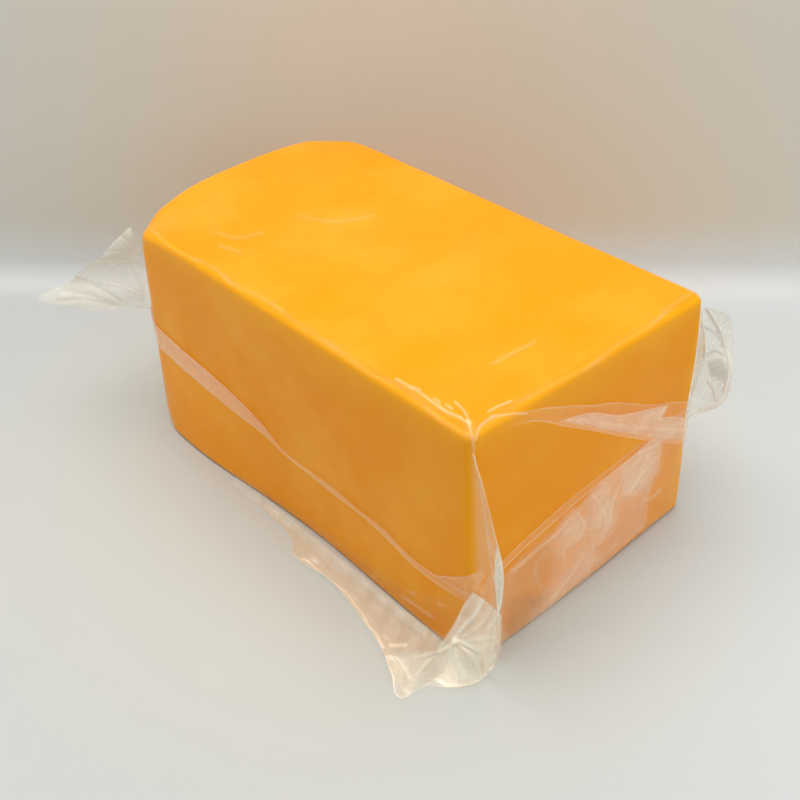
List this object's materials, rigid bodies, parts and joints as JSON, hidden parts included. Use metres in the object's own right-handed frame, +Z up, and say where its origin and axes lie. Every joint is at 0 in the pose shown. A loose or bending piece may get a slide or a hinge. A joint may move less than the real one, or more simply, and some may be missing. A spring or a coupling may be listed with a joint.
{
  "type": "vacuum-packed cheddar block",
  "caption": "Catering block of coloured cheddar with softly rounded edges in a clear vacuum bag, whose loose film stands out as ears at the corners and a skirt at the foot.",
  "frame": {"origin": "centre of the flat face the block rests on", "axes": "+X along the block to its near end, +Y across it, +Z up"},
  "size_m": [0.3114, 0.1905, 0.1309],
  "materials": {
    "cheese": "smooth, faintly waxy coloured cheddar",
    "film": "clear glossy vacuum film, milky where it is folded or loose"
  },
  "bodies": {
    "root": {"cheddar_block": "cheese", "bag_film": "film"}
  },
  "joints": []
}
